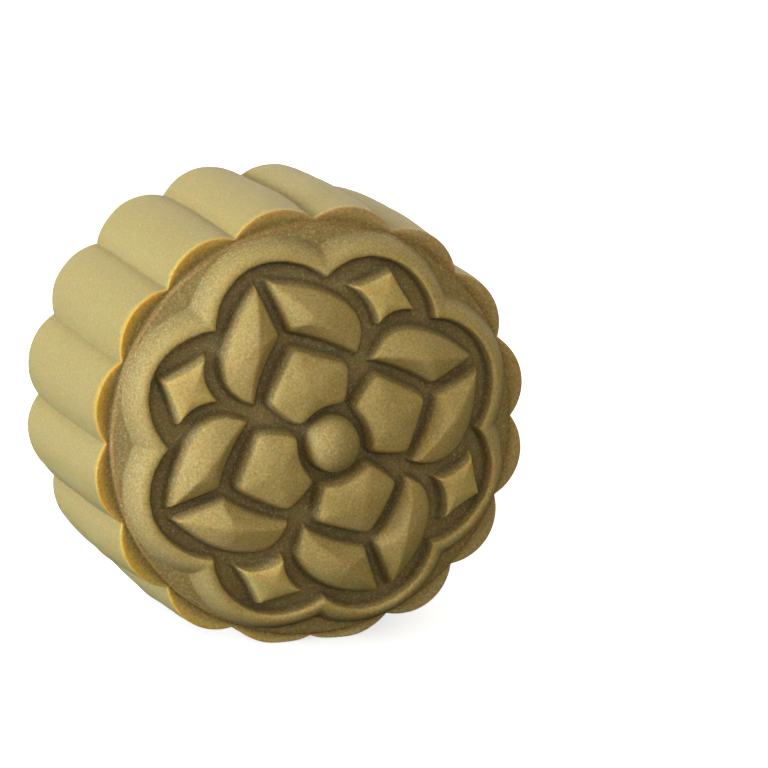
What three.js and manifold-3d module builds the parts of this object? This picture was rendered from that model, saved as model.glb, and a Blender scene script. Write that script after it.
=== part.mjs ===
// A round moulded mooncake that stands on its fluted side, with its patterned face towards -Y.
// Units are millimetres and +Z is up.
//
// The cake is first built lying on its back: x and y span the face, and z is the height above
// the plane of the front rim's valleys. The finished mesh is then turned up onto its side.

import * as THREE from "three";
import { mergeVertices } from "three/addons/utils/BufferGeometryUtils.js";
import Module from "manifold-3d";

const wasm = await Module();
wasm.setup();

// Driving dimensions.

const fluteCount = 16;
const valleyRadius = 23.5; // to the valleys between the flutes, at the front rim
const crestRadius = 25.05; // to the crests of the flutes, at the front rim
const settledCrestRadius = 24.45; // the two lowest flutes, which the cake's weight has flattened
const bodyDepth = 26.7; // from the front rim's valleys to the flat back
const backFlare = 1.021; // how much wider the cake is at its back than at its front rim
const sideBulge = 0.45; // how far the side swells outwards halfway back
const backRounding = 0.9; // radius of the edge round the back
const restRadius = 24.0; // from the cake's axis down to the surface that it stands on

const rimLip = 0.3; // how far the flutes' crests stand above the valleys, at the front rim
const grooveRadius = 23.15; // the groove between the rim and the disc of the face
const grooveDepth = 0.2;
const discRadius = 23.0; // the disc's edge
const discEdgeHeight = 0.35; // that edge's height above the rim's valleys
const discSlope = 0.6; // how far the disc rises for each millimetre inwards from its edge

const faceRise = 7.6; // the pattern's top at the centre, above the rim's valleys
const faceFall = 4.6; // how far that top has fallen at the valleys' radius, because the face is domed
const floorSink = 2.25; // the sunk floor inside the ridge lies this far below the pattern's top

const lobeCount = 8;
const lobeCentre = 12.98; // from the cake's axis to the centre of each lobe's arc
const ridgeInner = 7.65; // the ridge's inner edge, as a radius about each lobe's centre
const ridgeOuter = 10.1; // its outer foot
const ridgeFootMargin = 0.25; // that foot stays at least this far inside the disc's edge
const ridgeFullness = 0.8; // below 1 the outer flank is straighter near its foot
const ridgeRounding = 0.55; // how far the ridge's crest is outside its inner edge
const ridgeEdgeSink = 0.35; // how far that edge is below the crest
const ridgeDraft = 0.35; // how far its inner wall leans in towards the floor

const ballRadius = 3.05;
const ballCentre = 6.9; // height of the ball's centre
const motifDraft = 0.3; // how far the walls of petals, leaves and stars lean outwards
const motifRoot = 0.9; // how far those solids reach below the floor

// How finely the curves are divided.

const stepsPerFlute = 8;
const ringSteps = fluteCount * stepsPerFlute;
const curveSteps = 7;

const turn = 2 * Math.PI;
const down = -Math.PI / 2;

// Profiles of the cake.

/** Distance from the centre to an arc bulging out between two sector edges, at an angle from its middle. */
function arcReach(centre, radius, angle) {
  const across = centre * Math.sin(angle);
  return centre * Math.cos(angle) + Math.sqrt(radius * radius - across * across);
}

/** The angle from the middle of the sector that a direction falls in, and that middle. */
function sectorOf(angle, count) {
  const width = turn / count;
  const middle = (Math.floor(angle / width + 1e-9) + 0.5) * width;
  return { offset: angle - middle, middle, width };
}

/** The fluted outline at the front rim. */
function fluteRadius(angle) {
  const { offset, middle, width } = sectorOf(angle, fluteCount);
  const fromDown = Math.abs(Math.atan2(Math.sin(middle - down), Math.cos(middle - down)));
  const crest = fromDown < width ? settledCrestRadius : crestRadius;
  const mid = valleyRadius * Math.cos(width / 2);
  const centre = (crest * crest - valleyRadius * valleyRadius) / (2 * (crest - mid));
  return arcReach(centre, crest - centre, offset);
}

/** An outline at a given distance from the lobes' centres: the ridge's edges follow it. */
function lobeRadius(angle, distance) {
  return arcReach(lobeCentre, distance, sectorOf(angle, lobeCount).offset);
}

/** Height of the pattern's top at a radius: the domed face. */
function domeHeight(radius) {
  return faceRise - faceFall * (radius / valleyRadius) ** 2;
}

// Building closed meshes from rings of points.

/** A closed mesh through rings of equal length, from a first point to a last one. */
function loft(first, rings, last) {
  const count = rings[0].length;
  const points = [first, ...rings.flat(), last];
  const at = (ring, step) => 1 + ring * count + (step % count);
  const faces = [];
  for (let step = 0; step < count; step += 1) {
    faces.push(0, at(0, step + 1), at(0, step));
    for (let ring = 0; ring + 1 < rings.length; ring += 1) {
      faces.push(at(ring, step), at(ring, step + 1), at(ring + 1, step + 1));
      faces.push(at(ring, step), at(ring + 1, step + 1), at(ring + 1, step));
    }
    faces.push(at(rings.length - 1, step), at(rings.length - 1, step + 1), points.length - 1);
  }
  const geometry = new THREE.BufferGeometry();
  geometry.setAttribute("position", new THREE.Float32BufferAttribute(points.flatMap((p) => p.toArray()), 3));
  geometry.setIndex(faces);
  return geometry;
}

/** A ring of points round the cake's axis, from a radius and a height for each angle. */
function polarRing(radiusAt, heightAt) {
  return Array.from({ length: ringSteps }, (_, step) => {
    const angle = (step / ringSteps) * turn;
    const radius = radiusAt(angle);
    return new THREE.Vector3(radius * Math.cos(angle), radius * Math.sin(angle), heightAt(radius, angle));
  });
}

// The body: back, fluted side, rim, disc, ridge and sunk floor.

/** How far a direction is from a valley towards a crest, from 0 to 1. */
function crestShare(angle) {
  return (fluteRadius(angle) - valleyRadius) / (crestRadius - valleyRadius);
}

function sideRing(depth, inset) {
  const share = depth / bodyDepth;
  const flare = 1 + (backFlare - 1) * share;
  const swell = 4 * sideBulge * share * (1 - share);
  return polarRing((angle) => fluteRadius(angle) * flare + swell - inset, () => -depth);
}

/** Height of the plain disc outside the ridge, which slopes down to its own edge. */
function discHeight(radius) {
  return discEdgeHeight + discSlope * (discRadius - radius);
}

function ridgeRing(distance, sink) {
  return polarRing(
    (angle) => lobeRadius(angle, distance),
    (radius) => domeHeight(radius) - sink,
  );
}

/** A ring on the ridge's outer flank: 0 is its crest and 1 its foot, which stays inside the disc's edge. */
function flankRing(share) {
  const drop = 1 - (1 - share * share) ** ridgeFullness;
  const radiusAt = (angle) => {
    const crest = lobeRadius(angle, ridgeInner + ridgeRounding);
    const foot = Math.min(lobeRadius(angle, ridgeOuter), discRadius - ridgeFootMargin);
    return crest + (foot - crest) * share;
  };
  return polarRing(radiusAt, (radius) => {
    const crestHeight = domeHeight(radius);
    return crestHeight + (discHeight(radius) - crestHeight) * drop;
  });
}

function floorRing(share) {
  const foot = ridgeInner - ridgeDraft;
  return polarRing(
    (angle) => lobeRadius(angle, foot) * share,
    (radius) => domeHeight(radius) - floorSink,
  );
}

function bodyGeometry() {
  const rings = [
    sideRing(bodyDepth, backRounding),
    sideRing(bodyDepth - 0.3 * backRounding, 0.3 * backRounding),
    sideRing(bodyDepth - backRounding, 0),
    sideRing(0.75 * bodyDepth, 0),
    sideRing(0.5 * bodyDepth, 0),
    sideRing(0.25 * bodyDepth, 0),
    polarRing(fluteRadius, (_, angle) => rimLip * crestShare(angle)),
    polarRing(() => grooveRadius, () => -grooveDepth),
    polarRing(() => discRadius, () => discEdgeHeight),
    flankRing(1),
    flankRing(0.8),
    flankRing(0.45),
    flankRing(0),
    ridgeRing(ridgeInner, ridgeEdgeSink),
    floorRing(1),
    floorRing(0.5),
  ];
  return loft(new THREE.Vector3(0, 0, -bodyDepth), rings, new THREE.Vector3(0, 0, faceRise - floorSink));
}

// The pattern on the floor. Each outline runs anticlockwise, with x along its own axis
// outwards from the cake's centre and y across it.

/** A raised solid over an outline: walls up to the domed face, and a roof that rises to a peak. */
function raisedMotif(outline, peak, edgeLift, peakLift, crown) {
  const around = outline.map((p) => p.clone().sub(peak));
  const ringAt = (grow, scale, heightAt) =>
    around.map((arm) => {
      const flat = arm.clone().setLength(arm.length() * scale + grow).add(peak);
      return new THREE.Vector3(flat.x, flat.y, heightAt(domeHeight(flat.length())));
    });
  const peakTop = domeHeight(peak.length()) + peakLift;
  const rings = [
    ringAt(motifDraft, 1, (dome) => dome - floorSink - motifRoot),
    ringAt(motifDraft, 1, (dome) => dome - floorSink),
    ringAt(0, 1, (dome) => dome + edgeLift),
  ];
  if (crown > 0) {
    rings.push(ringAt(0, 0.6, (dome) => dome + edgeLift + crown * (peakLift - edgeLift)));
  }
  const root = new THREE.Vector3(peak.x, peak.y, peakTop - floorSink - motifRoot - peakLift);
  return loft(root, rings, new THREE.Vector3(peak.x, peak.y, peakTop));
}

/** Points along a three.js curve, without its last point. */
function along(curve) {
  return curve.getPoints(curveSteps).slice(0, -1);
}

/** A side from one corner to the next that bows outwards, or inwards when the bow is negative. */
function bowedSide(from, to, bow) {
  const outwards = new THREE.Vector2(to.y - from.y, from.x - to.x).setLength(2 * bow);
  const middle = from.clone().lerp(to, 0.5).add(outwards);
  return along(new THREE.QuadraticBezierCurve(from, middle, to));
}

function mirrored(outline) {
  return outline.map((p) => new THREE.Vector2(p.x, -p.y)).reverse();
}

/** A broad petal: a blunt point outwards, two shoulders, and a hollow inner side round the ball. */
function petalGeometry() {
  const tip = new THREE.Vector2(11.45, 0);
  const shoulder = new THREE.Vector2(7.3, 4.8);
  const heel = new THREE.Vector2(3.5, 2.6);
  const low = (p) => new THREE.Vector2(p.x, -p.y);
  const outline = [
    ...bowedSide(tip, shoulder, 0.35),
    ...bowedSide(shoulder, heel, 0.1),
    ...bowedSide(heel, low(heel), -0.85),
    ...bowedSide(low(heel), low(shoulder), 0.1),
    ...bowedSide(low(shoulder), tip, 0.35),
  ];
  return raisedMotif(outline, new THREE.Vector2(7.2, 0), -0.2, 1.25, 0.85);
}

/** One leaf of a pair: a hipped form, straight beside its partner and bulging on its other side. */
function leafOutline() {
  const outerTip = new THREE.Vector2(19.0, 0.65);
  const innerTip = new THREE.Vector2(7.45, 6.2);
  const corner = new THREE.Vector2(12.9, 0.55);
  const bulge = new THREE.CubicBezierCurve(
    outerTip,
    new THREE.Vector2(15.5, 8.1),
    new THREE.Vector2(10.6, 10.1),
    innerTip,
  );
  return [...along(bulge), ...bowedSide(innerTip, corner, -0.45), ...bowedSide(corner, outerTip, 0)];
}

function leafGeometry(side) {
  const outline = side > 0 ? leafOutline() : mirrored(leafOutline());
  return raisedMotif(outline, new THREE.Vector2(13.4, 3.2 * side), -0.35, 1.3, 0);
}

/** A four-pointed star, hollow on the two sides that face the cake's centre. */
function starGeometry() {
  const outer = new THREE.Vector2(19.7, 0);
  const left = new THREE.Vector2(16.5, 4.15);
  const inner = new THREE.Vector2(13.5, 0);
  const right = new THREE.Vector2(16.5, -4.15);
  const outline = [
    ...bowedSide(outer, left, -0.15),
    ...bowedSide(left, inner, -0.7),
    ...bowedSide(inner, right, -0.7),
    ...bowedSide(right, outer, -0.15),
  ];
  return raisedMotif(outline, new THREE.Vector2(16.6, 0), -0.1, 0.6, 0.7);
}

/** The ball at the centre: a dome on a short upright wall. */
function ballGeometry() {
  const sides = 24;
  const rows = 6;
  const profile = [new THREE.Vector2(0, faceRise - floorSink - motifRoot)];
  profile.push(new THREE.Vector2(ballRadius + motifDraft / 2, profile[0].y));
  for (let row = 0; row < rows; row += 1) {
    const lift = (row / rows) * (Math.PI / 2);
    profile.push(new THREE.Vector2(ballRadius * Math.cos(lift), ballCentre + ballRadius * Math.sin(lift)));
  }
  profile.push(new THREE.Vector2(0, ballCentre + ballRadius));
  return new THREE.LatheGeometry(profile, sides).rotateX(Math.PI / 2);
}

// Joining everything into one solid.

function solidOf(geometry) {
  const plain = geometry.clone();
  plain.deleteAttribute("normal");
  plain.deleteAttribute("uv");
  const merged = mergeVertices(plain, 1e-5);
  return new wasm.Manifold(
    new wasm.Mesh({
      numProp: 3,
      vertProperties: new Float32Array(merged.attributes.position.array),
      triVerts: new Uint32Array(merged.index.array),
    }),
  );
}

function geometryOf(solid) {
  const { vertProperties, triVerts } = solid.getMesh();
  const geometry = new THREE.BufferGeometry();
  geometry.setAttribute("position", new THREE.BufferAttribute(vertProperties, 3));
  geometry.setIndex(new THREE.BufferAttribute(triVerts, 1));
  geometry.computeVertexNormals();
  return geometry;
}

/** The ball, four petals with a pair of leaves outside each, and a star between the pairs. */
function patternGeometries() {
  const pieces = [ballGeometry()];
  for (let quarter = 0; quarter < 4; quarter += 1) {
    const petalTurn = (quarter / 4 + 1 / 16) * turn;
    const starTurn = petalTurn + turn / 8;
    pieces.push(petalGeometry().rotateZ(petalTurn));
    pieces.push(leafGeometry(1).rotateZ(petalTurn));
    pieces.push(leafGeometry(-1).rotateZ(petalTurn));
    pieces.push(starGeometry().rotateZ(starTurn));
  }
  return pieces;
}

/** A block below the surface that the cake stands on, to cut its resting flat. */
function groundBlock() {
  const reach = 4 * valleyRadius;
  return new THREE.BoxGeometry(reach, reach, reach).translate(0, -restRadius - reach / 2, 0);
}

function cakeGeometry() {
  const whole = patternGeometries().reduce((sum, piece) => sum.add(solidOf(piece)), solidOf(bodyGeometry()));
  return geometryOf(whole.subtract(solidOf(groundBlock())));
}

const dough = new THREE.MeshStandardMaterial({ color: 0xb5a268, roughness: 0.75, metalness: 0 });

const mooncake = new THREE.Mesh(cakeGeometry(), dough);
mooncake.name = "mooncake";
mooncake.rotation.x = Math.PI / 2;
mooncake.position.set(0, (ballCentre + ballRadius - bodyDepth) / 2, restRadius);

const model = new THREE.Group();
model.add(mooncake);

export default model;
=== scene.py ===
"""A khaki mooncake that stands on its fluted side, on a pale floor in soft studio light.

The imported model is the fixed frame. The cake's solid is replaced by one fine mesh of the same form:
rings of points run from the middle of the back, up the fluted side and over the rim to the middle of
the face, and the relief of the face is a height map worked out from the pattern's own sizes.

Sizes are millimetres, as in the part's source, until place() turns them into the frame's metres.
On the face, x runs to the right, y up and z outwards from the plane of the front rim's valleys.
"""

import math

import bpy
import numpy as np
from mathutils import Matrix, Vector


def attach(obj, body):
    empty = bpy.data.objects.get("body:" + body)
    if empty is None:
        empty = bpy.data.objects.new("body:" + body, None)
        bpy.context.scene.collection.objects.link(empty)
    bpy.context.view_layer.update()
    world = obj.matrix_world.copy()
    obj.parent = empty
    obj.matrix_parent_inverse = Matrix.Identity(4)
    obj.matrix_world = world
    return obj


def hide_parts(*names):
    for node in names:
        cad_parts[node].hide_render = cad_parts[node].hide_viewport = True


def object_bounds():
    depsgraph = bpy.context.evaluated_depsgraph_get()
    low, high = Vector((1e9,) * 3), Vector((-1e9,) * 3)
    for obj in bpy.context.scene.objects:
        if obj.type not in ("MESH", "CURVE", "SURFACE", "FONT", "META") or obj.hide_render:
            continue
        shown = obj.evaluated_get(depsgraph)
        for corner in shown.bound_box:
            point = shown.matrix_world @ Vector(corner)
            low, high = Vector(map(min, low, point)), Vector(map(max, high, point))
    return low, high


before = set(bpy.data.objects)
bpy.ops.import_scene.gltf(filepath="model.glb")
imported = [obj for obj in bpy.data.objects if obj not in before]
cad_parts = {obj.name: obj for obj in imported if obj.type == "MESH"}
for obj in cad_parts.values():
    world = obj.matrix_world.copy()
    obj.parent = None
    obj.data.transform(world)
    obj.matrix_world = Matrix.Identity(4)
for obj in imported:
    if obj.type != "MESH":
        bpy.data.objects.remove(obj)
cad_low, cad_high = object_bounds()

MM = 0.001
TURN = 2 * math.pi
DOWN = -TURN / 4

# ---------------------------------------------------------------- sizes of the cake

FLUTES = 16
VALLEY_RADIUS = 23.5  # to the valleys between the flutes, at the front rim
CREST_RADIUS = 25.05  # to the crests of the flutes, at the front rim
SETTLED_CREST_RADIUS = 24.45  # the two lowest flutes, which the cake's weight has flattened
BODY_DEPTH = 26.7  # from the front rim's valleys to the flat back
BACK_FLARE = 1.021  # how much wider the cake is at its back than at its front rim
SIDE_BULGE = 0.45  # how far the side swells outwards halfway back
BACK_ROUNDING = 0.9  # radius of the edge round the back
REST_RADIUS = 24.0  # from the cake's axis down to the surface that it stands on
SETTLED_EDGE = 0.12  # how softly the two lowest flutes turn into the flat that they rest on

RIM_LIP = 0.3  # how far the flutes' crests stand above the valleys, at the front rim
LIP_CORNER = ((0, 0.35), (0, 0.16), (0.03, 0.06), (0.1, 0))  # inwards and down from it, round its corner
LIP_WIDTH = 0.18  # the lip's top, at a valley
CREST_LIP_WIDTH = 0.12  # how much wider it is at a crest
LIP_FALL = 0.03  # how far it falls inwards, at a crest
RIM_FULLNESS = 1.15  # above 1 the slope from the lip to the groove is full
GROOVE_RADIUS = 23.15  # the groove between the rim and the disc of the face
GROOVE_WAVE = 0.02  # how far it moves outwards below a crest
GROOVE_DEPTH = 0.2  # below a crest
LEAST_GROOVE_DEPTH = 0.08  # below a valley
DISC_RADIUS = 23.0  # the disc's edge
DISC_CORNER = ((0.07, 0.3), (0.03, 0.12), (-0.03, 0.02))  # outwards and down from it, round its corner
DISC_SHOULDER = 0.1  # how far inside the disc's edge that corner ends
DISC_EDGE_HEIGHT = 0.35  # that edge's height above the rim's valleys
DISC_SLOPE = 0.6  # how far the disc rises for each millimetre inwards from its edge

FACE_RISE = 7.6  # the pattern's top at the centre, above the rim's valleys
FACE_FALL = 4.6  # how far that top has fallen at the valleys' radius, because the face is domed
FLOOR_SINK = 2.25  # the sunk floor inside the ridge lies this far below the pattern's top

LOBES = 8
LOBE_CENTRE = 12.98  # from the cake's axis to the middle of each lobe
RIDGE_INNER = 7.65  # the ridge's inner edge, from the middle of its lobe
RIDGE_OUTER = 10.1  # its outer foot
RIDGE_FOOT_MARGIN = 0.25  # that foot stays at least this far inside the disc's edge
RIDGE_FULLNESS = 0.8  # below 1 the outer flank is fuller, and steeper near its foot
RIDGE_ROUNDING = 0.55  # how far the ridge's crest is outside its inner edge, and about how far above it
RIDGE_ROUNDNESS = 0.98  # below 1, so that the rounding between them ends just short of upright
RIDGE_DRAFT = 0.3  # how far its inner wall leans in towards the floor

BALL_RADIUS = 3.05
BALL_CENTRE = 6.9  # height of the ball's centre
BALL_DRAFT = 0.1  # how far the wall below the ball leans outwards

# ---------------------------------------------------------------- sizes of the petals, leaves and stars

MOTIF_REPEATS = 4  # round the face
PETAL_BEARING = TURN / 16  # the first petal's axis
MOTIF_DRAFT = 0.15  # how far a motif's walls lean outwards

# Each motif's corners lie on its own axis, or on one side of it, with x outwards from the cake's centre.
# A rise is how far the roof's peak stands above the dome of the face, and a fall how much lower the roof
# is at the outline. A rounding is how far inside the outline the wall has turned into the roof. A zone
# holds the least and the greatest distance from the cake's centre at which the motif is looked for.

PETAL_TIP, PETAL_SHOULDER, PETAL_HEEL = (11.8, 0), (7.4, 5.15), (3.3, 2.8)
PETAL_TIP_BOW, PETAL_FLANK_BOW, PETAL_HEEL_BOW = 0.05, 0.1, -0.85
PETAL_CORNERS = 0.65  # the rounding of its corners
PETAL_PEAK = (7.0, 0)
PETAL_RISE = 1.25
PETAL_FALL = 1.0
PETAL_FULLNESS = 2.2  # the higher, the flatter its top and the steeper its edge
PETAL_ROUNDING = 0.8
PETAL_ZONE = (2.5, 12.5)

LEAF_OUTER_TIP, LEAF_INNER_TIP, LEAF_CORNER = (19.0, 0.65), (7.45, 6.2), (12.9, 0.55)
LEAF_BULGE = ((15.5, 8.1), (10.6, 10.1))  # what its outer side bulges towards
LEAF_INNER_BOW = -0.45
LEAF_PEAK = (13.8, 3.6)
LEAF_RISE = 1.4
LEAF_STRAIGHT_FALL = 0.75
LEAF_CURVED_FALL = 0.95
LEAF_INNER_SINK = 0.95  # where its inner slope starts below the dome, at the side next to the petal
LEAF_INNER_SLOPE = 1.3
LEAF_HIP = 0.2  # the hip above that slope is rounded over this height
LEAF_ROUNDING = 0.7
LEAF_ZONE = (7.0, 20.0)

STAR_OUTER, STAR_SIDE, STAR_INNER = (19.7, 0), (16.5, 4.15), (13.5, 0)
STAR_OUTER_BOW, STAR_INNER_BOW = -0.15, -0.7
STAR_PEAK = (16.6, 0)
STAR_RISE = 0.65
STAR_FALL = 0.55
STAR_ROUNDING = 0.35
STAR_ZONE = (12.5, 20.5)

# ---------------------------------------------------------------- unevenness

# Each has its amount, the size of its hollows, and the seed of its random draw.

DRIFT_X, DRIFT_Y = (0.12, 11, 1), (0.12, 11, 2)  # how the pattern's outlines wander
EDGE_X, EDGE_Y = (0.03, 1.3, 5), (0.03, 1.3, 6)  # how the ridge's edges wander besides
FACE_SWELL, FACE_RIPPLE = (0.05, 4.5, 3), (0.02, 1.6, 4)
SIDE_SWELL, SIDE_RIPPLE = (0.10, 14, 11), (0.035, 4, 12)
BACK_SWELL = (0.05, 9, 13)
BACK_LIFT = 0.05  # how far inwards the back lies, so that its unevenness stays in front of the flat back


def waves(points, size, seed, count=28):
    """Smooth noise between about -1 and 1 with hollows of a given size, the same on every run."""
    draw = np.random.default_rng(seed)
    directions = draw.normal(size=(count, points.shape[-1]))
    directions /= np.linalg.norm(directions, axis=1)[:, None]
    pitches = size * draw.uniform(0.7, 1.6, count)
    phases = draw.uniform(0, TURN, count)
    total = np.zeros(points.shape[:-1])
    for direction, pitch, phase in zip(directions, pitches, phases):
        total += np.sin(points @ direction * (TURN / pitch) + phase)
    return total * math.sqrt(2 / count) / 2


def uneven(points, kind):
    """One of the unevennesses above, at each point."""
    amount, size, seed = kind
    return amount * waves(points, size, seed)


# ---------------------------------------------------------------- small helpers


def smooth_step(start, end, value):
    """0 up to the start, 1 past the end, and smooth between. It also runs downwards, from a higher start."""
    share = np.clip((value - start) / (end - start), 0, 1)
    return share * share * (3 - 2 * share)


def soft_max(a, b, reach):
    """The larger of two heights, with the corner between them filled over a given height."""
    return np.maximum(a, b) + np.clip(reach - np.abs(a - b), 0, None) ** 2 / (4 * reach)


def soft_min(a, b, reach):
    """The smaller of two heights, with the corner between them rounded over a given height."""
    return -soft_max(-a, -b, reach)


def sector_middle(angle, count):
    """The middle of the sector that a direction falls in, of so many equal ones round the cake."""
    width = TURN / count
    return (np.floor(angle / width + 1e-9) + 0.5) * width


def arc_reach(centre, radius, angle):
    """Distance from the middle to an arc that bulges out between two sector edges."""
    return centre * np.cos(angle) + np.sqrt(radius**2 - (centre * np.sin(angle)) ** 2)


# ---------------------------------------------------------------- outlines of the pattern

SIDE_STEPS = 10  # points on a bowed side
LEAF_BULGE_STEPS = 24  # points on the leaf's outer side
ROUNDED_POINTS = 80  # points on an outline whose corners are rounded
ROUNDED_REACH = 8  # how many points to each side have a say in where a point moves to


def mirrored(point):
    """The same point on the other side of its motif's axis."""
    return (point[0], -point[1])


def bowed_side(start, end, bow, steps=SIDE_STEPS):
    """Points from one corner towards the next along a side that bows outwards, or inwards if negative."""
    start, end = np.array(start, float), np.array(end, float)
    along = end - start
    outwards = np.array([along[1], -along[0]]) / np.linalg.norm(along)
    middle = (start + end) / 2 + outwards * 2 * bow
    t = np.arange(steps)[:, None] / steps
    return (1 - t) ** 2 * start + 2 * t * (1 - t) * middle + t**2 * end


def bezier(start, control_a, control_b, end, steps=LEAF_BULGE_STEPS):
    """Points from one corner towards the next along a curve that two other points pull outwards."""
    t = np.arange(steps)[:, None] / steps
    corners = [np.array(p, float) for p in (start, control_a, control_b, end)]
    weights = [(1 - t) ** 3, 3 * t * (1 - t) ** 2, 3 * t**2 * (1 - t), t**3]
    return sum(w * p for w, p in zip(weights, corners))


def rounded_corners(outline, reach):
    """The same outline with its corners rounded over a given length."""
    closed = np.vstack([outline, outline[:1]])
    along = np.concatenate([[0], np.cumsum(np.hypot(*np.diff(closed, axis=0).T))])
    even = np.arange(ROUNDED_POINTS) / ROUNDED_POINTS * along[-1]
    points = np.stack([np.interp(even, along, closed[:, axis]) for axis in (0, 1)], 1)
    offsets = np.arange(-ROUNDED_REACH, ROUNDED_REACH + 1)
    weights = np.exp(-0.5 * (offsets * along[-1] / ROUNDED_POINTS / reach) ** 2)
    return sum(w * np.roll(points, -i, axis=0) for i, w in zip(offsets, weights)) / weights.sum()


def petal_outline():
    """A blunt point outwards, two shoulders and a hollow inner side."""
    low_shoulder, low_heel = mirrored(PETAL_SHOULDER), mirrored(PETAL_HEEL)
    sides = [
        bowed_side(PETAL_TIP, PETAL_SHOULDER, PETAL_TIP_BOW),
        bowed_side(PETAL_SHOULDER, PETAL_HEEL, PETAL_FLANK_BOW),
        bowed_side(PETAL_HEEL, low_heel, PETAL_HEEL_BOW),
        bowed_side(low_heel, low_shoulder, PETAL_FLANK_BOW),
        bowed_side(low_shoulder, PETAL_TIP, PETAL_TIP_BOW),
    ]
    return rounded_corners(np.concatenate(sides), PETAL_CORNERS)


def leaf_outline():
    """One leaf of a pair, on the y side of the petal's axis."""
    sides = [
        bezier(LEAF_OUTER_TIP, *LEAF_BULGE, LEAF_INNER_TIP),
        bowed_side(LEAF_INNER_TIP, LEAF_CORNER, LEAF_INNER_BOW),
        bowed_side(LEAF_CORNER, LEAF_OUTER_TIP, 0),
    ]
    return np.concatenate(sides)


def star_outline():
    """A four-pointed star, hollow above all on the two sides that face the cake's centre."""
    low_side = mirrored(STAR_SIDE)
    sides = [
        bowed_side(STAR_OUTER, STAR_SIDE, STAR_OUTER_BOW),
        bowed_side(STAR_SIDE, STAR_INNER, STAR_INNER_BOW),
        bowed_side(STAR_INNER, low_side, STAR_INNER_BOW),
        bowed_side(low_side, STAR_OUTER, STAR_OUTER_BOW),
    ]
    return np.concatenate(sides)


def distance_to(x, y, line):
    """Distance to the nearest point of a line through points."""
    nearest = np.full(x.shape, np.inf)
    for (ax, ay), (bx, by) in zip(line[:-1], line[1:]):
        ex, ey = bx - ax, by - ay
        share = np.clip(((x - ax) * ex + (y - ay) * ey) / (ex * ex + ey * ey), 0, 1)
        nearest = np.minimum(nearest, np.hypot(x - ax - share * ex, y - ay - share * ey))
    return nearest


def depth_inside(x, y, outline):
    """How far each point is inside an outline, negative outside."""
    closed = np.vstack([outline, outline[:1]])
    inside = np.zeros(x.shape, bool)
    for (ax, ay), (bx, by) in zip(closed[:-1], closed[1:]):
        if by != ay:
            crosses = (ay > y) != (by > y)
            inside ^= crosses & (x < ax + (y - ay) * (bx - ax) / (by - ay))
    distance = distance_to(x, y, closed)
    return np.where(inside, distance, -distance)


REACH_STEPS = 12  # how finely each of an outline's sides is divided to measure the reach
MOST_REACH = 1.2  # past the outline, where the walls lean, a roof falls no further than this


def reach_from(x, y, outline, peak):
    """0 at a peak and 1 on the outline round it, in proportion along each straight line between them."""
    corners = np.vstack([outline, outline[:1]])
    steps = np.arange(len(outline) * REACH_STEPS) / REACH_STEPS
    around = np.stack([np.interp(steps, range(len(corners)), corners[:, axis]) for axis in (0, 1)], 1) - peak
    bearing = np.arctan2(around[:, 1], around[:, 0])
    edge = np.interp(np.arctan2(y - peak[1], x - peak[0]), bearing, np.hypot(*around.T), period=TURN)
    return np.minimum(np.hypot(x - peak[0], y - peak[1]) / edge, MOST_REACH)


# ---------------------------------------------------------------- relief of the face

CELL = 0.05  # the height map's cells
HALF = 24.0  # half the map's width
MOTIF_BLUR = 0.12
MOTIF_FILLET = 0.25  # the corner at a motif's foot is filled over this height
RIDGE_BLUR = 0.11
RIDGE_FILLET = 0.15


def blurred(grid, spread):
    """A Gaussian blur of a height map, with its spread in millimetres."""
    reach = int(math.ceil(3 * spread / CELL))
    weights = np.exp(-0.5 * (np.arange(-reach, reach + 1) * CELL / spread) ** 2)
    weights /= weights.sum()
    for axis in (0, 1):
        padded = np.pad(grid, [(reach, reach) if a == axis else (0, 0) for a in (0, 1)], mode="edge")
        length = grid.shape[axis]
        grid = sum(w * np.take(padded, range(i, i + length), axis) for i, w in enumerate(weights))
    return grid


def dome_height(radius):
    """The dome that the tops of ridge, petals, leaves and stars follow."""
    return FACE_RISE - FACE_FALL * (radius / VALLEY_RADIUS) ** 2


def disc_height(radius):
    """The plain disc outside the ridge, which slopes down to its own edge."""
    return DISC_EDGE_HEIGHT + DISC_SLOPE * (DISC_RADIUS - radius)


def lobe_distance(x, y):
    """Distance from the middle of the nearest lobe, 0 inside the circle of their middles."""
    middle = sector_middle(np.arctan2(y, x), LOBES)
    distance = np.hypot(x - LOBE_CENTRE * np.cos(middle), y - LOBE_CENTRE * np.sin(middle))
    return np.where(np.hypot(x, y) < LOBE_CENTRE, 0, distance)


def ridge_height(x, y, dome):
    """The ridge of eight lobes, the sunk floor inside it and the disc outside it."""
    distance = lobe_distance(x, y)
    crest = RIDGE_INNER + RIDGE_ROUNDING
    outer = np.clip((distance - crest) / (RIDGE_OUTER - crest), 0, 1)
    flank = 1 - (1 - outer**2) ** RIDGE_FULLNESS
    inner = np.clip((crest - distance) / RIDGE_ROUNDING, 0, 1)
    wall = np.clip((RIDGE_INNER - distance) / RIDGE_DRAFT, 0, 1)
    round_sink = RIDGE_ROUNDING * (1 - np.sqrt(1 - RIDGE_ROUNDNESS * inner**2))
    sink = round_sink + wall * (FLOOR_SINK - RIDGE_ROUNDING)
    return dome - sink + (disc_height(np.hypot(x, y)) - dome) * flank


def raised(x, y, floor, roof, outline, rounding):
    """A motif: upright at its foot, and rounded over into its roof within a given distance."""
    inwards = np.clip((depth_inside(x, y, outline) + MOTIF_DRAFT) / (rounding + MOTIF_DRAFT), 0, 1)
    return floor + (roof - floor) * np.sqrt(1 - (1 - inwards) ** 3)


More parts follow.
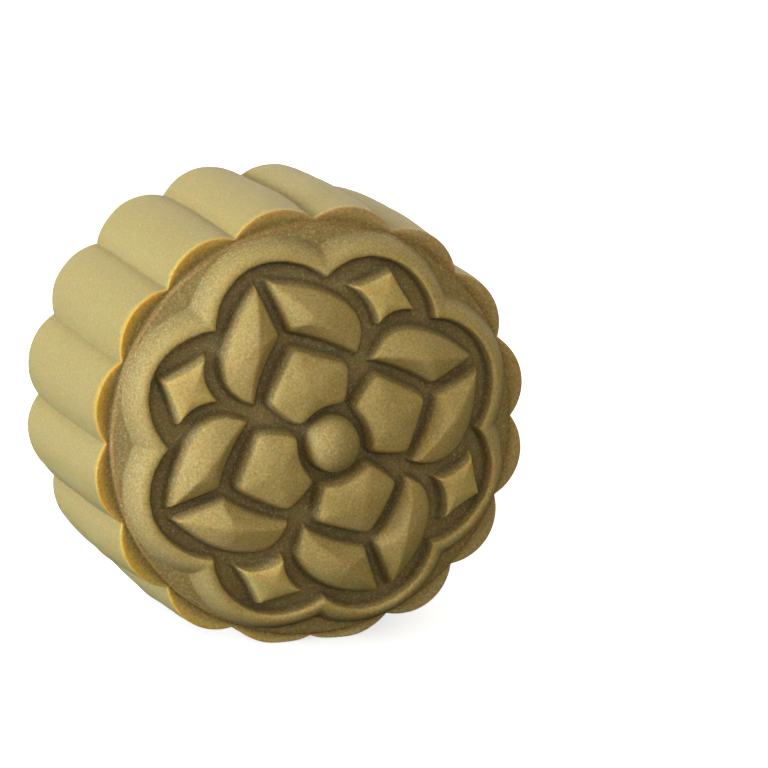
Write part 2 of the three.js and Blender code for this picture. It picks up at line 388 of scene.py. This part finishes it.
def petal_height(x, y, dome, floor):
    """A pillow with a blunt hip towards each corner."""
    outline = petal_outline()
    roof = dome + PETAL_RISE - PETAL_FALL * reach_from(x, y, outline, PETAL_PEAK) ** PETAL_FULLNESS
    return raised(x, y, floor, roof, outline, PETAL_ROUNDING)


def leaf_height(x, y, dome, floor):
    """Two facets that fall from a peak, and a steeper one that rises from the side next to the petal."""
    outline = leaf_outline()
    inner_side = outline[LEAF_BULGE_STEPS : LEAF_BULGE_STEPS + SIDE_STEPS + 1]
    reach = reach_from(x, y, outline, LEAF_PEAK)
    roof = dome + LEAF_RISE - LEAF_STRAIGHT_FALL * reach - LEAF_CURVED_FALL * reach**2
    inner_roof = dome - LEAF_INNER_SINK + LEAF_INNER_SLOPE * distance_to(x, y, inner_side)
    return raised(x, y, floor, soft_min(roof, inner_roof, LEAF_HIP), outline, LEAF_ROUNDING)


def star_height(x, y, dome, floor):
    """A low pillow with a hip towards each point."""
    outline = star_outline()
    roof = dome + STAR_RISE - STAR_FALL * reach_from(x, y, outline, STAR_PEAK) ** 2
    return raised(x, y, floor, roof, outline, STAR_ROUNDING)


def ball_height(radius):
    """The upper half of the ball in the middle, with a steep wall below it."""
    dome = BALL_CENTRE + np.sqrt(np.clip(BALL_RADIUS**2 - radius**2, 0, None))
    wall = (BALL_RADIUS + BALL_DRAFT - radius) / BALL_DRAFT * BALL_CENTRE
    return np.where(radius < BALL_RADIUS, dome, wall)


def folded(x, y):
    """A point's place on the nearest petal's axis, and on the star's beside it."""
    repeat = TURN / MOTIF_REPEATS
    radius = np.hypot(x, y)
    angle = np.arctan2(y, x) - PETAL_BEARING
    from_petal = np.abs(angle - repeat * np.round(angle / repeat))
    from_star = from_petal - repeat / 2
    on_petal = (radius * np.cos(from_petal), radius * np.sin(from_petal))
    on_star = (radius * np.cos(from_star), radius * np.sin(from_star))
    return on_petal, on_star


def pattern_height(x, y, dome):
    """The ball, petals, leaves and stars on the sunk floor."""
    radius = np.hypot(x, y)
    floor = dome - FLOOR_SINK
    heights = floor.copy()
    on_petal, on_star = folded(x, y)
    motifs = [
        (petal_height, on_petal, PETAL_ZONE),
        (leaf_height, on_petal, LEAF_ZONE),
        (star_height, on_star, STAR_ZONE),
    ]
    for height_of, (mx, my), (near, far) in motifs:
        here = (radius > near) & (radius < far)
        motif = height_of(mx[here], my[here], dome[here], floor[here])
        heights[here] = soft_max(heights[here], motif, MOTIF_FILLET)
    return soft_max(heights, ball_height(radius), MOTIF_FILLET)


def face_map():
    """The heights of the face, on a square grid of cells."""
    count = int(round(2 * HALF / CELL)) + 1
    axis = np.linspace(-HALF, HALF, count)
    x, y = np.meshgrid(axis, axis)
    spots = np.stack([x, y], -1)
    x = x + uneven(spots, DRIFT_X)
    y = y + uneven(spots, DRIFT_Y)
    dome = dome_height(np.hypot(x, y))
    pattern = blurred(pattern_height(x, y, dome), MOTIF_BLUR)
    ridge = ridge_height(x + uneven(spots, EDGE_X), y + uneven(spots, EDGE_Y), dome)
    heights = soft_max(pattern, blurred(ridge, RIDGE_BLUR), RIDGE_FILLET)
    return heights + uneven(spots, FACE_SWELL) + uneven(spots, FACE_RIPPLE)


def sample(grid, x, y):
    """Reads a map between its cells."""
    column = np.clip((x + HALF) / CELL, 0, grid.shape[1] - 1.001)
    row = np.clip((y + HALF) / CELL, 0, grid.shape[0] - 1.001)
    i, j = row.astype(int), column.astype(int)
    a, b = row - i, column - j
    near = grid[i, j] * (1 - b) + grid[i, j + 1] * b
    far = grid[i + 1, j] * (1 - b) + grid[i + 1, j + 1] * b
    return near * (1 - a) + far * a


# ---------------------------------------------------------------- the cake's rings

STEPS = FLUTES * 60
ANGLES = np.arange(STEPS) / STEPS * TURN

BACK_RINGS = 12
BACK_HUB = 0.06  # the back's smallest ring, as a share of its largest
BACK_EDGE_RINGS = 6
SIDE_RINGS = 39
SIDE_FRONT = 0.7  # how far behind the rim's valleys the side's rings end
RIM_RINGS = 8
DISC_RINGS = 14
FLANK_RINGS = 19
WALL_RINGS = 12
WALL_START = 0.2  # how far outside the ridge's inner edge the wall's rings start
WALL_MARGIN = 0.3  # how far past the wall's foot they run on
PATTERN_RINGS = 155
PATTERN_HUB = 0.006  # the pattern's smallest ring, as a share of its largest
LOBED_FROM = 0.45  # rings smaller than this share are round


def flute_radius(angle):
    """The fluted outline at the front rim."""
    width = TURN / FLUTES
    middle = sector_middle(angle, FLUTES)
    from_down = np.abs(np.angle(np.exp(1j * (middle - DOWN))))
    crest = np.where(from_down < width, SETTLED_CREST_RADIUS, CREST_RADIUS)
    mid = VALLEY_RADIUS * math.cos(width / 2)
    centre = (crest**2 - VALLEY_RADIUS**2) / (2 * (crest - mid))
    return arc_reach(centre, crest - centre, angle - middle)


def lobe_radius(angle, distance):
    """The outline of eight lobes, at a distance from the middle of each."""
    return arc_reach(LOBE_CENTRE, distance, angle - sector_middle(angle, LOBES))


def ring(radius, height):
    """A ring round the cake's axis. Its radius and its height may each change along it."""
    radius = radius + np.zeros(STEPS)
    return np.stack([radius * np.cos(ANGLES), radius * np.sin(ANGLES), height + np.zeros(STEPS)], 1)


def face_ring(radius, heights):
    """A ring that lies on the relief of the face."""
    x, y = radius * np.cos(ANGLES), radius * np.sin(ANGLES)
    return np.stack([x, y, sample(heights, x, y)], 1)


def side_radius(outline, depth):
    """The fluted outline at a depth behind the front rim."""
    share = depth / BODY_DEPTH
    return outline * (1 + (BACK_FLARE - 1) * share) + 4 * SIDE_BULGE * share * (1 - share)


def back_rings(outline):
    """Across the flat back, and round its edge."""
    rings = []
    edge = side_radius(outline, BODY_DEPTH)
    for share in np.linspace(BACK_HUB, 1, BACK_RINGS):
        rings.append(ring((edge - BACK_ROUNDING) * share, -BODY_DEPTH))
    for turn in np.linspace(0, TURN / 4, BACK_EDGE_RINGS + 1)[1:]:
        inset = BACK_ROUNDING * (1 - math.sin(turn))
        depth = BODY_DEPTH - BACK_ROUNDING * (1 - math.cos(turn))
        rings.append(ring(side_radius(outline, depth) - inset, -depth))
    return rings


def side_rings(outline):
    """Along the fluted side, from the back's edge to just behind the rim."""
    depths = np.linspace(BODY_DEPTH - BACK_ROUNDING, SIDE_FRONT, SIDE_RINGS + 1)[1:]
    return [ring(side_radius(outline, depth), -depth) for depth in depths]


def rim_rings(outline):
    """From the top of the side over the rim's lip, and down its slope to the groove round the disc."""
    share = (outline - VALLEY_RADIUS) / (CREST_RADIUS - VALLEY_RADIUS)
    lip = RIM_LIP * share
    groove = GROOVE_RADIUS + GROOVE_WAVE * share
    bottom = -LEAST_GROOVE_DEPTH - (GROOVE_DEPTH - LEAST_GROOVE_DEPTH) * share
    inner_edge = outline - LIP_WIDTH - CREST_LIP_WIDTH * share
    rings = [ring(outline - inwards, lip - down) for inwards, down in LIP_CORNER]
    rings.append(ring(inner_edge, lip - LIP_FALL * share))
    for t in np.linspace(0, 1, RIM_RINGS + 1)[1:]:
        rings.append(ring(inner_edge + (groove - inner_edge) * t, lip + (bottom - lip) * t**RIM_FULLNESS))
    return rings


def ridge_foot():
    """The ridge's outer foot, which stays inside the disc's edge."""
    return np.minimum(lobe_radius(ANGLES, RIDGE_OUTER), DISC_RADIUS - RIDGE_FOOT_MARGIN)


def disc_rings(heights):
    """From the groove up over the disc's edge, and in to the foot of the ridge."""
    rings = []
    for outwards, drop in DISC_CORNER:
        top = face_ring(DISC_RADIUS + outwards + np.zeros(STEPS), heights)
        top[:, 2] -= drop
        rings.append(top)
    shoulder = DISC_RADIUS - DISC_SHOULDER
    for share in np.linspace(0, 1, DISC_RINGS):
        rings.append(face_ring(shoulder + (ridge_foot() - shoulder) * share, heights))
    return rings


def pattern_rings(heights):
    """Over the ridge and its steep inner wall, and in across the pattern to the centre."""
    rings = []
    foot = ridge_foot()
    wall_foot = RIDGE_INNER - RIDGE_DRAFT - WALL_MARGIN
    crest = lobe_radius(ANGLES, RIDGE_INNER + WALL_START)
    for share in np.linspace(0, 1, FLANK_RINGS + 1)[1:]:
        rings.append(face_ring(foot + (crest - foot) * share, heights))
    for distance in np.linspace(RIDGE_INNER + WALL_START, wall_foot, WALL_RINGS + 1)[1:]:
        rings.append(face_ring(lobe_radius(ANGLES, distance), heights))
    edge = lobe_radius(ANGLES, wall_foot)
    mean = edge.mean()
    for share in np.linspace(1, PATTERN_HUB, PATTERN_RINGS + 1)[1:]:
        lobed = smooth_step(LOBED_FROM, 1, share)
        rings.append(face_ring(share * (edge * lobed + mean * (1 - lobed)), heights))
    return rings


# ---------------------------------------------------------------- the cake's mesh

RIM_PLANE = cad_high.y / MM - BODY_DEPTH  # where the front rim's valleys lie along the frame's y
MOST_TRIANGLES = 190_000  # in the piece that is left


def roughened(points):
    """Slight unevenness of the side and the back, which fades out towards the face, whose map has its own."""
    side = smooth_step(0.5, -1.5, points[:, 2])
    back = smooth_step(0.1, 0.0, points[:, 2] + BODY_DEPTH)
    outwards = points[:, :2] / np.maximum(np.linalg.norm(points[:, :2], axis=1), 1)[:, None]
    swell = uneven(points, SIDE_SWELL) + uneven(points, SIDE_RIPPLE)
    points = points.copy()
    points[:, :2] += outwards * (swell * side)[:, None]
    points[:, 2] += back * (BACK_LIFT + uneven(points, BACK_SWELL))
    return points


def settled(points):
    """Presses the two lowest flutes flat where they rest."""
    points = points.copy()
    height = points[:, 1] + REST_RADIUS
    well_above = height > 6 * SETTLED_EDGE
    pressed = SETTLED_EDGE * np.logaddexp(0, np.clip(height / SETTLED_EDGE, -40, 40))
    points[:, 1] = np.where(well_above, height, pressed) - REST_RADIUS
    return points


def place(points):
    """From the face's axes in millimetres to the frame's metres, resting on the floor."""
    x, y, z = points.T
    return np.stack([x, RIM_PLANE - z, y + REST_RADIUS], 1) * MM


def ring_faces(total):
    """Quads between neighbouring rings, and a fan of triangles at each of the two end points."""
    step = np.arange(STEPS)
    after = (step + 1) % STEPS
    start = 1 + np.arange(total - 1)[:, None] * STEPS
    corners = [start + step, start + after, start + STEPS + after, start + STEPS + step]
    quads = np.stack(corners, -1).reshape(-1, 4)
    end = 1 + (total - 1) * STEPS
    tip = end + STEPS
    first_fan = [(0, 1 + b, 1 + a) for a, b in zip(step, after)]
    last_fan = [(end + a, end + b, tip) for a, b in zip(step, after)]
    return quads.tolist() + first_fan + last_fan


def ring_mesh(name, rings, first, last):
    """A closed mesh through rings of equal length, from a first point to a last one."""
    points = np.concatenate([first[None], *rings, last[None]])
    points = place(settled(roughened(points)))
    mesh = bpy.data.meshes.new(name)
    mesh.from_pydata(points.tolist(), [], ring_faces(len(rings)))
    mesh.validate()
    return mesh


def lighten(piece):
    """Takes triangles away where the surface is plain, so that the piece stays under its limit."""
    triangles = sum(len(face.vertices) - 2 for face in piece.data.polygons)
    modifier = piece.modifiers.new("lighten", "DECIMATE")
    modifier.ratio = MOST_TRIANGLES / triangles
    view = bpy.context.evaluated_depsgraph_get()
    light = bpy.data.meshes.new_from_object(piece.evaluated_get(view))
    piece.modifiers.clear()
    piece.data = light


def build_cake():
    """The whole cake as one piece, with the marks that its colour follows."""
    heights = face_map()
    outline = flute_radius(ANGLES)
    rings = back_rings(outline) + side_rings(outline) + rim_rings(outline)
    rings += disc_rings(heights) + pattern_rings(heights)
    middle = sample(heights, np.zeros(1), np.zeros(1))[0]
    mesh = ring_mesh("mooncake_dough", rings, np.array([0, 0, -BODY_DEPTH]), np.array([0, 0, middle]))
    cake = bpy.data.objects.new("mooncake_dough", mesh)
    bpy.context.scene.collection.objects.link(cake)
    lighten(cake)
    cake.data.shade_smooth()
    mark_surface(cake.data, heights)
    return cake


# ---------------------------------------------------------------- marks for the dough's colour, painted shade and glow

OPEN_BLUR = 0.8  # how far around it a spot of the floor looks for raised forms


def face_spots(mesh):
    """Each point of the mesh in the face's own axes, in millimetres."""
    spots = np.zeros(len(mesh.vertices) * 3, np.float32)
    mesh.vertices.foreach_get("co", spots)
    spots = spots.reshape(-1, 3) / MM
    return spots[:, 0], spots[:, 2] - REST_RADIUS, RIM_PLANE - spots[:, 1]


def steepness(heights, x, y):
    """How steep the face's relief is, as rise over run."""
    rise_y, rise_x = np.gradient(heights, CELL)
    return sample(np.hypot(rise_x, rise_y), x, y)


def openness(heights, x, y):
    """How open the sunk floor is: 0 in a narrow channel, 1 in a wide place. The floor's painted shade is
    deepest where it is 0.
    """
    axis = (np.arange(len(heights)) - (len(heights) - 1) / 2) * CELL
    grid_x, grid_y = np.meshgrid(axis, axis)
    relief = heights - dome_height(np.hypot(grid_x, grid_y)) + FLOOR_SINK
    crowding = blurred(np.clip(relief / FLOOR_SINK, 0, 1), OPEN_BLUR)
    return smooth_step(0.5, 0.22, sample(crowding, x, y))


def pattern_marks(x, y, z, heights):
    """How high and how steep each point is inside the ridge, and what it belongs to there; these place the
    painted shade on walls and floor.
    """
    radius = np.hypot(x, y)
    distance = lobe_distance(x, y)
    in_front = z > 0
    lift = np.clip((z - dome_height(radius)) / FLOOR_SINK + 1, 0, 1)
    inside_ridge = smooth_step(RIDGE_INNER + 0.35, RIDGE_INNER, distance)
    off_ball = radius > BALL_RADIUS + 0.2
    on_petal, _ = folded(x, y)
    leaf_depth = depth_inside(*on_petal, leaf_outline())
    return {
        "ball": smooth_step(BALL_RADIUS + 0.6, BALL_RADIUS + 0.2, radius) * in_front,
        "leaf": smooth_step(-0.1, 0.4, leaf_depth) * in_front,
        "open": openness(heights, x, y) * in_front,
        "lift": np.where(distance > RIDGE_INNER, 1, lift),
        "steep": smooth_step(1.2, 2.6, steepness(heights, x, y)) * inside_ridge * in_front * off_ball,
        "centre": smooth_step(14.5, 10.0, radius) * in_front,
    }


def ridge_marks(x, y):
    """The ridge and everything outside it, and within that the disc."""
    distance = lobe_distance(x, y)
    past_flank = smooth_step(RIDGE_OUTER - 1.5, RIDGE_OUTER - 0.1, distance)
    inside_disc_edge = smooth_step(DISC_RADIUS + 0.1, DISC_RADIUS - 0.3, np.hypot(x, y))
    return {
        "ridge": smooth_step(RIDGE_INNER - 0.1, RIDGE_INNER + 0.3, distance),
        "disc": past_flank * inside_disc_edge,
    }


def side_marks(x, y, z):
    """The groove round the disc and the side's valleys, for painted shade; the rim's lip, for a painted glow;
    and the fluted side with the back.
    """
    radius = np.hypot(x, y)
    angle = np.mod(np.arctan2(y, x), TURN)
    rim_width = np.maximum(flute_radius(angle) - GROOVE_RADIUS, 0.1)
    across_rim = (radius - GROOVE_RADIUS) / rim_width
    below_lip = smooth_step(0.0, -0.6, z)
    outside_groove = smooth_step(GROOVE_RADIUS, GROOVE_RADIUS + 0.25, radius)
    side = np.where(z < -1.0, 1, below_lip * outside_groove)
    valley = TURN / FLUTES * np.round(angle * FLUTES / TURN)
    near_valley = smooth_step(1.3, 0.1, radius * np.abs(angle - valley))
    off_the_back = smooth_step(VALLEY_RADIUS - 1.4, VALLEY_RADIUS - 0.4, radius)
    past_disc_edge = smooth_step(DISC_RADIUS - 0.4, DISC_RADIUS, radius)
    return {
        "side": side,
        "crease_shade": near_valley * side * off_the_back,
        "rim": smooth_step(0.15, 0.95, across_rim) * smooth_step(-0.5, -0.2, z),
        "groove": past_disc_edge * (smooth_step(0.75, 0.0, across_rim) * smooth_step(-1.2, -0.6, z)),
    }


def mark_surface(mesh, heights):
    """Stores what each point belongs to, from 0 to 1, for the dough's colour and for its painted shade and
    glow.
    """
    x, y, z = face_spots(mesh)
    marks = {**pattern_marks(x, y, z, heights), **ridge_marks(x, y), **side_marks(x, y, z)}
    for name, values in marks.items():
        attribute = mesh.attributes.new(name, "FLOAT", "POINT")
        attribute.data.foreach_set("value", values.astype(np.float32))


# ---------------------------------------------------------------- materials


class Nodes:
    """Short calls for building the nodes of one material, or of the world."""

    def __init__(self, owner):
        owner.use_nodes = True
        self.tree = owner.node_tree
        self.tree.nodes.clear()

    def node(self, kind, inputs=None, **settings):
        """A new node with its settings, and its inputs by name or by number: each is linked or set."""
        made = self.tree.nodes.new(kind)
        for key, value in settings.items():
            setattr(made, key, value)
        for key, value in (inputs or {}).items():
            if isinstance(value, bpy.types.NodeSocket):
                self.tree.links.new(value, made.inputs[key])
            else:
                made.inputs[key].default_value = value
        return made

    def math(self, operation, a, b=0.0):
        """Arithmetic on two numbers."""
        return self.node("ShaderNodeMath", {0: a, 1: b}, operation=operation).outputs[0]

    def vector(self, operation, *values):
        """The node for arithmetic on vectors."""
        return self.node("ShaderNodeVectorMath", dict(enumerate(values)), operation=operation)

    def mix(self, share, a, b):
        """A mix of two colours."""
        return self.node("ShaderNodeMix", {0: share, 6: a, 7: b}, data_type="RGBA").outputs[2]

    def ranged(self, value, low, high, to_low=0.0, to_high=1.0):
        """A value moved from one range to another, and kept inside it."""
        inputs = {"Value": value, "From Min": low, "From Max": high, "To Min": to_low, "To Max": to_high}
        return self.node("ShaderNodeMapRange", inputs, clamp=True).outputs[0]

    def spots(self):
        """Each point's own place on the piece, in metres."""
        return self.node("ShaderNodeTexCoord").outputs["Object"]

    def marked(self, name):
        """One of the marks that mark_surface() stores."""
        return self.node("ShaderNodeAttribute", attribute_name=name).outputs["Fac"]

    def noise(self, size, detail, roughness=0.5):
        """Noise with features of a size in millimetres."""
        inputs = {"Vector": self.spots(), "Scale": 1 / (size * MM), "Detail": detail, "Roughness": roughness}
        return self.node("ShaderNodeTexNoise", inputs).outputs["Fac"]

    def specks(self, pitch, size, share, strength):
        """Scattered round specks: one in some of the cells of a given pitch, in millimetres."""
        cells = self.node("ShaderNodeTexVoronoi", {"Vector": self.spots(), "Scale": 1 / (pitch * MM)})
        draw = self.node("ShaderNodeSeparateColor", {0: cells.outputs["Color"]}).outputs[0]
        chosen = self.math("LESS_THAN", draw, share)
        spot = self.ranged(cells.outputs["Distance"], size / pitch, 0.4 * size / pitch)
        return self.math("MULTIPLY", self.math("MULTIPLY", spot, chosen), strength)


# The dough's colours, in linear light.

TOP = (0.755, 0.580, 0.190, 1)
WARM_TOP = (0.715, 0.536, 0.164, 1)
RIDGE = (0.615, 0.475, 0.164, 1)
CENTRE = (0.605, 0.456, 0.150, 1)
BALL = (0.510, 0.382, 0.128, 1)
LEAF = (0.595, 0.446, 0.148, 1)
SIDE = (0.488, 0.386, 0.137, 1)
# Painted shade along the valleys between the flutes of the side
CREASE_SHADE = (0.400, 0.300, 0.105, 1)
# Painted shade: the walls of the relief, darker where they are steep and low down
WALL_SHADE = (0.215, 0.151, 0.054, 1)
# The sunk floor: its greyer tone is partly the dough's own colour and partly painted shade, deepest in narrow
# channels
NARROW_FLOOR_SHADE = (0.205, 0.154, 0.070, 1)
OPEN_FLOOR_SHADE = (0.305, 0.230, 0.088, 1)
DISC = (0.410, 0.306, 0.104, 1)
# Painted light: the orange glow of light through the rim's thin lip, strongest on the left, towards the main
# light
LIP_GLOW = (0.770, 0.520, 0.072, 1)
LIP_AWAY_FROM_LIGHT = (0.560, 0.412, 0.180, 1)
# Painted shade in the groove round the disc, over the disc's edge and down the rim's inner slope
GROOVE_SHADE = (0.350, 0.222, 0.058, 1)
LIGHT_GRAIN = (0.80, 0.69, 0.42, 1)
DARK_GRAIN = (0.20, 0.14, 0.06, 1)
LIGHT_SPECK = (0.86, 0.79, 0.58, 1)
DARK_SPECK = (0.14, 0.09, 0.04, 1)

STEEP_SHADE_SHARE = 0.6  # how much of the painted wall shade a steep slope has
CREASE_SHADE_SHARE = 0.55  # how much of the painted crease shade a valley of the side has
LIP_GLOW_FADE = (-18, 8)  # between these places, from left to right, the lip's painted glow fades into its duller colour away from the light
CLOUD_SIZE = 4.0
GRAIN_SIZE = 0.28
GRAIN_RELIEF = 0.05  # how deep the grain is
SIDE_GRAIN = 0.5  # how strong the grain is on the side, against 1 on the face
FLOOR_POWDER = 0.7  # how strong its light part is down on the floor, against 1 on the tops


def dough_colour(nodes):
    """Khaki dough, darker towards the centre, with painted shade on the walls, the sunk floor, the groove and
    the side's creases, and a painted glow of light on the rim's lip.
    """
    cloudy = nodes.ranged(nodes.noise(CLOUD_SIZE, 3.0), 0.35, 0.65)
    colour = nodes.mix(cloudy, WARM_TOP, TOP)
    colour = nodes.mix(nodes.marked("centre"), colour, CENTRE)
    colour = nodes.mix(nodes.marked("leaf"), colour, LEAF)
    colour = nodes.mix(nodes.marked("ball"), colour, BALL)
    colour = nodes.mix(nodes.marked("ridge"), colour, RIDGE)
    lift = nodes.marked("lift")
    # Painted shade on steep walls, and low on every wall, where little light reaches
    colour = nodes.mix(nodes.math("MULTIPLY", nodes.marked("steep"), STEEP_SHADE_SHARE), colour, WALL_SHADE)
    colour = nodes.mix(nodes.ranged(lift, 0.75, 0.3), colour, WALL_SHADE)
    # Painted shade on the sunk floor, lighter where it is open
    floor_shade = nodes.mix(nodes.marked("open"), NARROW_FLOOR_SHADE, OPEN_FLOOR_SHADE)
    colour = nodes.mix(nodes.ranged(lift, 0.45, 0.05), colour, floor_shade)
    colour = nodes.mix(nodes.marked("disc"), colour, DISC)
    # The lip's painted glow of light, fading from left to right
    across = nodes.node("ShaderNodeSeparateXYZ", {0: nodes.spots()}).outputs[0]
    glow_fade = nodes.ranged(across, LIP_GLOW_FADE[0] * MM, LIP_GLOW_FADE[1] * MM)
    lip_glow = nodes.mix(glow_fade, LIP_GLOW, LIP_AWAY_FROM_LIGHT)
    colour = nodes.mix(nodes.marked("rim"), colour, lip_glow)
    # Painted shade in the groove, which also dulls the highlight on the disc's edge
    colour = nodes.mix(nodes.marked("groove"), colour, GROOVE_SHADE)
    colour = nodes.mix(nodes.marked("side"), colour, SIDE)
    return nodes.mix(nodes.math("MULTIPLY", nodes.marked("crease_shade"), CREASE_SHADE_SHARE), colour, CREASE_SHADE)


def with_grain(nodes, colour, grain):
    """Light and dark grains, fewer on the side than on the face."""
    calm = nodes.ranged(nodes.marked("side"), 0, 1, 1.0, SIDE_GRAIN)
    powder = nodes.math("MULTIPLY", nodes.ranged(nodes.marked("lift"), 0.1, 0.8, FLOOR_POWDER, 1.0), calm)
    light = nodes.math("MULTIPLY", nodes.ranged(grain, 0.50, 0.72, 0.0, 0.6), powder)
    dark = nodes.math("MULTIPLY", nodes.ranged(grain, 0.48, 0.26, 0.0, 0.5), calm)
    return nodes.mix(dark, nodes.mix(light, colour, LIGHT_GRAIN), DARK_GRAIN)


def with_specks(nodes, colour):
    """Small light specks, and fewer dark ones."""
    light = nodes.specks(pitch=0.8, size=0.11, share=0.35, strength=0.55)
    dark = nodes.specks(pitch=1.7, size=0.10, share=0.4, strength=0.6)
    return nodes.mix(dark, nodes.mix(light, colour, LIGHT_SPECK), DARK_SPECK)


def dough_material():
    """Baked dough: matt, with light that goes a little way in, and a fine grain."""
    material = bpy.data.materials.new("dough")
    nodes = Nodes(material)
    grain = nodes.noise(GRAIN_SIZE, 3.0, 0.7)
    colour = with_specks(nodes, with_grain(nodes, dough_colour(nodes), grain))
    bump = nodes.node("ShaderNodeBump", {"Height": grain, "Strength": 0.4, "Distance": GRAIN_RELIEF * MM})
    surface = nodes.node(
        "ShaderNodeBsdfPrincipled",
        {
            "Base Color": colour,
            "Roughness": 0.62,
            "IOR": 1.4,
            "Specular IOR Level": 0.3,
            "Subsurface Weight": 1.0,
            "Subsurface Radius": (1.0, 0.42, 0.16),
            "Subsurface Scale": 0.8 * MM,
            "Normal": bump.outputs[0],
        },
    )
    nodes.node("ShaderNodeOutputMaterial", {"Surface": surface.outputs[0]})
    return material


def pale_material(name):
    """Near white, and glowing enough to stay pale where the cake shades it."""
    material = bpy.data.materials.new(name)
    nodes = Nodes(material)
    surface = nodes.node(
        "ShaderNodeBsdfPrincipled",
        {
            "Base Color": (0.92, 0.92, 0.92, 1),
            "Roughness": 0.9,
            "Emission Color": (1, 1, 1, 1),
            "Emission Strength": 0.70,
        },
    )
    nodes.node("ShaderNodeOutputMaterial", {"Surface": surface.outputs[0]})
    return material


# ---------------------------------------------------------------- camera

CAMERA_AZIMUTH = -20.21  # in degrees: the camera stands to the left of the face's axis
CAMERA_ELEVATION = 12.54
CAMERA_ROLL = 0.70
CAMERA_DISTANCE = 432.3  # from the point that it aims at
CAMERA_LENS = 184.6
SENSOR_WIDTH = 36
AIM_RIGHT = 7.9  # how far right of the rim's centre the camera aims
AIM_UP = 4.98  # how far above it


def direction_to(azimuth, elevation):
    """A direction from the cake, with its azimuth from straight in front of the face, in degrees."""
    turn, lift = math.radians(azimuth), math.radians(elevation)
    return Vector((math.sin(turn) * math.cos(lift), -math.cos(turn) * math.cos(lift), math.sin(lift)))


def view_axes():
    """The camera's right, up and backward directions."""
    back = direction_to(CAMERA_AZIMUTH, CAMERA_ELEVATION)
    level_right = Vector((0, 0, 1)).cross(back).normalized()
    right = Matrix.Rotation(math.radians(CAMERA_ROLL), 3, back) @ level_right
    return right, back.cross(right), back


def add_camera():
    """A long lens, which sees the whole cake from the left of its face and a little above."""
    right, up, back = view_axes()
    rim_centre = Vector((0, RIM_PLANE * MM, REST_RADIUS * MM))
    aim = rim_centre + right * AIM_RIGHT * MM + up * AIM_UP * MM
    data = bpy.data.cameras.new("camera")
    data.sensor_width = SENSOR_WIDTH
    data.lens = CAMERA_LENS
    camera = bpy.data.objects.new("camera", data)
    turn = Matrix((right, up, back)).transposed().to_4x4()
    camera.matrix_world = Matrix.Translation(aim + back * CAMERA_DISTANCE * MM) @ turn
    bpy.context.scene.collection.objects.link(camera)
    bpy.context.scene.camera = camera


# ---------------------------------------------------------------- floor, backdrop and light

STUDIO_RADIUS = 3.0  # in metres
STUDIO_SIDES = 96
STUDIO_LEVELS = 24  # of the dome, from the floor up
FLOOR_GAP = 0.02  # how far the floor lies below the cake


def studio_circle(radius, height):
    """A level circle of points round the cake, in metres."""
    angles = [side / STUDIO_SIDES * TURN for side in range(STUDIO_SIDES)]
    return [(radius * math.cos(a), radius * math.sin(a), height - FLOOR_GAP * MM) for a in angles]


def add_stage(name, points, faces):
    """A pale surface behind or under the cake: the camera sees it, but it shades nothing."""
    mesh = bpy.data.meshes.new(name)
    mesh.from_pydata(points, [], faces)
    mesh.shade_smooth()
    mesh.materials.append(pale_material(name))
    piece = bpy.data.objects.new(name, mesh)
    bpy.context.scene.collection.objects.link(piece)
    piece.visible_diffuse = False
    piece.visible_glossy = False
    piece.visible_shadow = False


def add_studio():
    """A pale floor, and a pale dome over it."""
    add_stage("pale_floor", studio_circle(STUDIO_RADIUS, 0), [range(STUDIO_SIDES)])
    points = []
    for turn in np.linspace(0, TURN / 4, STUDIO_LEVELS + 1)[:-1]:
        points += studio_circle(STUDIO_RADIUS * math.cos(turn), STUDIO_RADIUS * math.sin(turn))
    top = [len(points) - 1 - side for side in range(STUDIO_SIDES)]
    faces = [top]
    for start in range(0, len(points) - STUDIO_SIDES, STUDIO_SIDES):
        for side in range(STUDIO_SIDES):
            after = (side + 1) % STUDIO_SIDES
            corners = (side, side + STUDIO_SIDES, after + STUDIO_SIDES, after)
            faces.append([start + corner for corner in corners])
    add_stage("pale_dome", points, faces)


# Each soft light: azimuth and elevation in degrees, how narrow it is, and its strength in each colour.
SOFT_LIGHTS = [
    (-91, 3, 12, (11.2, 12.0, 13.4)),
    (-12, 14, 8, (2.75, 2.58, 2.25)),
    (140, 20, 8, (2.1, 2.0, 1.85)),
    (160, 45, 8, (1.2, 1.15, 1.1)),
]


def set_world():
    """Broad soft lights round the cake, all from above the horizon."""
    world = bpy.data.worlds.new("studio")
    bpy.context.scene.world = world
    nodes = Nodes(world)
    direction = nodes.node("ShaderNodeTexCoord").outputs["Generated"]
    total = (0.0, 0.0, 0.0)
    for azimuth, elevation, focus, strength in SOFT_LIGHTS:
        towards = direction_to(azimuth, elevation)
        facing = nodes.vector("DOT_PRODUCT", direction, towards).outputs["Value"]
        lobe = nodes.math("POWER", nodes.math("MAXIMUM", facing, 0.0), focus)
        total = nodes.vector("MULTIPLY_ADD", lobe, strength, total).outputs[0]
    height = nodes.node("ShaderNodeSeparateXYZ", {0: direction}).outputs["Z"]
    light = nodes.vector("MULTIPLY", total, nodes.ranged(height, -0.05, 0.05)).outputs[0]
    background = nodes.node("ShaderNodeBackground", {"Color": light})
    nodes.node("ShaderNodeOutputWorld", {"Surface": background.outputs[0]})
    bpy.context.scene.view_settings.view_transform = "Standard"


# ---------------------------------------------------------------- the scene

add_camera()
set_world()
add_studio()

cake = build_cake()
cake.data.materials.append(dough_material())
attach(cake, "root")
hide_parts("mooncake")
